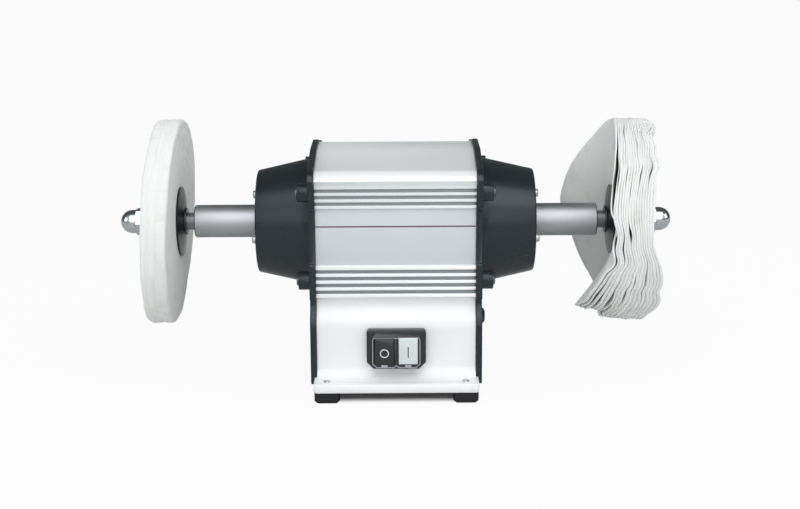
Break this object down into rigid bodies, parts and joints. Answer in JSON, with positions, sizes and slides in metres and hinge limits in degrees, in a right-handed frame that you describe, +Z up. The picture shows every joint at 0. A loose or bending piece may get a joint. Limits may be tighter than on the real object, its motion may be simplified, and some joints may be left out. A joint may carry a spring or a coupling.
{
  "type": "buffing machine",
  "caption": "Double-ended buffing machine: ribbed motor housing on a light base with a two-button switch, shaft tubes, one stitched and one loose cotton buff.",
  "frame": {"origin": "on the table, under the middle of the machine's bounding box", "axes": "+X along the shaft to the right as the operator sees it, the switch faces -Y, +Z up"},
  "size_m": [0.5408, 0.216, 0.2535],
  "materials": {
    "housing": "natural anodised, satin",
    "casting": "anthracite powder coat, semi-gloss",
    "tube": "turned, satin",
    "base": "light grey powder coat",
    "plate": "black painted sheet",
    "foot": "moulded rubber",
    "screw": "zinc plated",
    "ring": "ground",
    "cover": "as cast",
    "lamination": "stacked laminations",
    "winding": "enamelled copper",
    "rotor": "turned",
    "end_ring": "die cast",
    "shaft": "turned steel",
    "flange": "blackened steel",
    "nut": "polished",
    "cotton": "unbleached cotton",
    "black_plastic": "moulded",
    "grey_plastic": "moulded",
    "capacitor": "moulded can",
    "terminal": "moulded"
  },
  "bodies": {
    "frame": {"motor_housing": "housing", "end_shield_left": "casting", "end_shield_right": "casting", "shaft_tube_left": "tube", "shaft_tube_right": "tube", "stator_core": "lamination", "end_winding_left": "winding", "end_winding_right": "winding", "bearing_outer_ring_left": "ring", "bearing_outer_ring_right": "ring", "wave_washer": "ring", "locating_ring": "ring", "bearing_cover_left": "cover", "bearing_cover_right": "cover", "cover_screws_left": "screw", "cover_screws_right": "screw", "shield_screws_left": "screw", "shield_screws_right": "screw", "leg_screws_left": "screw", "leg_screws_right": "screw", "plate_screws": "screw", "foot_screws": "screw", "foot_nuts": "screw", "capacitor_clamp": "screw", "stop_spring": "screw", "start_spring": "screw", "base_shell": "base", "bottom_plate": "plate", "foot_front_left": "foot", "foot_front_right": "foot", "foot_back_left": "foot", "foot_back_right": "foot", "switch_bezel": "black_plastic", "switch_body": "black_plastic", "cable_gland": "black_plastic", "gland_locknut": "black_plastic", "run_capacitor": "capacitor", "terminal_block": "terminal"},
    "rotor": {"rotor_shaft": "shaft", "rotor_core": "rotor", "rotor_end_ring_left": "end_ring", "rotor_end_ring_right": "end_ring", "bearing_inner_ring_left": "ring", "bearing_inner_ring_right": "ring", "bearing_balls_left": "ring", "bearing_balls_right": "ring", "inner_flange_left": "flange", "inner_flange_right": "flange", "outer_flange_left": "flange", "outer_flange_right": "flange", "cap_nut_left": "nut", "cap_nut_right": "nut", "buff_left": "cotton", "buff_right": "cotton"},
    "stop_button": {"stop_button": "black_plastic"},
    "start_button": {"start_button": "grey_plastic"}
  },
  "joints": [
    {"name": "rotor_spin", "type": "hinge", "parent": "frame", "child": "rotor", "pos_m": [0, 0, 0.1535], "axis": [1, 0, 0], "continuous": true},
    {"name": "stop_press", "type": "slide", "parent": "frame", "child": "stop_button", "axis": [0, 1, 0], "range_m": [0, 0.003], "stiffness_N_per_m": 400, "deforming": ["stop_spring"]},
    {"name": "start_press", "type": "slide", "parent": "frame", "child": "start_button", "axis": [0, 1, 0], "range_m": [0, 0.003], "stiffness_N_per_m": 400, "deforming": ["start_spring"]}
  ]
}
